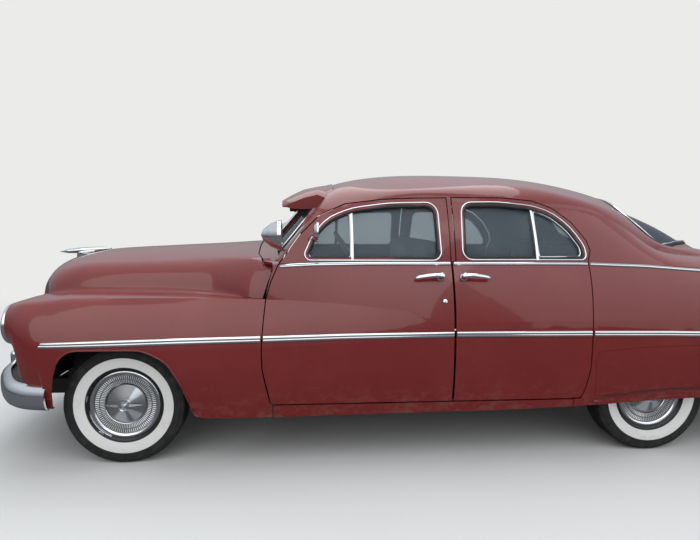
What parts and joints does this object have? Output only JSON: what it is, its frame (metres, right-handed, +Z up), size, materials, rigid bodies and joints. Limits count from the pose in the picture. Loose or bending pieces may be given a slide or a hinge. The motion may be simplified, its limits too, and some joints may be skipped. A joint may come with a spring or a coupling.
{
  "type": "four-door saloon car, early 1950s style",
  "caption": "Full-size 1950s saloon with opening doors, hood and boot lid, steering front wheels, fender skirts and an outside sun visor.",
  "frame": {"origin": "on the ground under the middle of the car", "axes": "+X towards the tail, +Y towards the car's right side, +Z up"},
  "size_m": [5.253, 1.95, 1.6483],
  "materials": {
    "body_paint": "gloss, aged",
    "chrome": "polished",
    "lamp_glass": "clear",
    "red_glass": "gloss",
    "window_glass": "clear",
    "black_iron": "rough",
    "black_paint": "matte",
    "exhaust_steel": "dull",
    "tyre_rubber": "matte with whitewall",
    "wheel_steel": "polished cover",
    "seat_cloth": "woven",
    "dash_paint": "satin",
    "steering_plastic": "gloss"
  },
  "bodies": {
    "root": {"center_pillars": "body_paint", "chassis_frame": "black_iron", "cowl": "body_paint", "dashboard": "dash_paint", "engine_block": "black_iron", "exhaust": "exhaust_steel", "fender_aprons": "black_paint", "fender_skirts": "body_paint", "floor_pan": "black_paint", "front_bumper": "chrome", "front_fenders": "body_paint", "front_seat": "seat_cloth", "front_suspension": "black_iron", "fuel_tank": "black_paint", "grille": "chrome", "headlamps": "lamp_glass", "nose_panel": "body_paint", "quarter_panels": "body_paint", "radiator": "black_iron", "rear_axle": "black_iron", "rear_bumper": "chrome", "rear_seat": "seat_cloth", "rear_window": "window_glass", "rockers": "body_paint", "roof": "body_paint", "spotlights": "chrome", "steering_column": "dash_paint", "sun_visor": "body_paint", "tail_lamps": "red_glass", "windshield": "window_glass"},
    "left_front_door": {"front_door_left": "body_paint", "front_door_glass_left": "window_glass", "door_mirror": "chrome"},
    "right_front_door": {"front_door_right": "body_paint", "front_door_glass_right": "window_glass"},
    "left_rear_door": {"rear_door_left": "body_paint", "rear_door_glass_left": "window_glass"},
    "right_rear_door": {"rear_door_right": "body_paint", "rear_door_glass_right": "window_glass"},
    "hood_lid": {"hood": "body_paint", "hood_ornament": "chrome"},
    "boot_lid": {"trunk_lid": "body_paint"},
    "steering": {"steering_wheel": "steering_plastic"},
    "left_knuckle": {"knuckle_left": "black_iron"},
    "right_knuckle": {"knuckle_right": "black_iron"},
    "left_front_wheel": {"front_tyre_left": "tyre_rubber", "front_wheel_left": "wheel_steel"},
    "right_front_wheel": {"front_tyre_right": "tyre_rubber", "front_wheel_right": "wheel_steel"},
    "left_rear_wheel": {"rear_tyre_left": "tyre_rubber", "rear_wheel_left": "wheel_steel"},
    "right_rear_wheel": {"rear_tyre_right": "tyre_rubber", "rear_wheel_right": "wheel_steel"}
  },
  "joints": [
    {"name": "front_door_left_hinge", "type": "hinge", "parent": "root", "child": "left_front_door", "pos_m": [-0.9705, -0.945, 0.72], "axis": [0, 0, -1], "range_deg": [0, 65]},
    {"name": "front_door_right_hinge", "type": "hinge", "parent": "root", "child": "right_front_door", "pos_m": [-0.9705, 0.945, 0.72], "axis": [0, 0, 1], "range_deg": [0, 65]},
    {"name": "rear_door_left_hinge", "type": "hinge", "parent": "root", "child": "left_rear_door", "pos_m": [0.7285, -0.962, 0.72], "axis": [0, 0, 1], "range_deg": [0, 65]},
    {"name": "rear_door_right_hinge", "type": "hinge", "parent": "root", "child": "right_rear_door", "pos_m": [0.7285, 0.962, 0.72], "axis": [0, 0, -1], "range_deg": [0, 65]},
    {"name": "hood_hinge", "type": "hinge", "parent": "root", "child": "hood_lid", "pos_m": [-1.0705, 0, 1.2], "axis": [0, 1, 0], "range_deg": [0, 48]},
    {"name": "trunk_hinge", "type": "hinge", "parent": "root", "child": "boot_lid", "pos_m": [1.9055, 0, 1.155], "axis": [0, -1, 0], "range_deg": [0, 62]},
    {"name": "steering_turn", "type": "hinge", "parent": "root", "child": "steering", "pos_m": [-0.4865, -0.35, 1.085], "axis": [0.8191, 0, 0.5736], "range_deg": [-540, 540]},
    {"name": "kingpin_left", "type": "hinge", "parent": "root", "child": "left_knuckle", "pos_m": [-1.7765, -0.662, 0.325], "axis": [0, 0, 1], "range_deg": [-30, 30]},
    {"name": "kingpin_right", "type": "hinge", "parent": "root", "child": "right_knuckle", "pos_m": [-1.7765, 0.662, 0.325], "axis": [0, 0, 1], "range_deg": [-30, 30]},
    {"name": "front_left_roll", "type": "hinge", "parent": "left_knuckle", "child": "left_front_wheel", "pos_m": [-1.7765, -0.743, 0.325], "axis": [0, 1, 0], "continuous": true},
    {"name": "front_right_roll", "type": "hinge", "parent": "right_knuckle", "child": "right_front_wheel", "pos_m": [-1.7765, 0.743, 0.325], "axis": [0, 1, 0], "continuous": true},
    {"name": "rear_left_roll", "type": "hinge", "parent": "root", "child": "left_rear_wheel", "pos_m": [1.2205, -0.762, 0.325], "axis": [0, 1, 0], "continuous": true},
    {"name": "rear_right_roll", "type": "hinge", "parent": "root", "child": "right_rear_wheel", "pos_m": [1.2205, 0.762, 0.325], "axis": [0, 1, 0], "continuous": true}
  ],
  "couplings": [
    {"joint": "kingpin_left", "follows": "steering_turn", "ratio": 0.055556},
    {"joint": "kingpin_right", "follows": "steering_turn", "ratio": 0.055556}
  ]
}
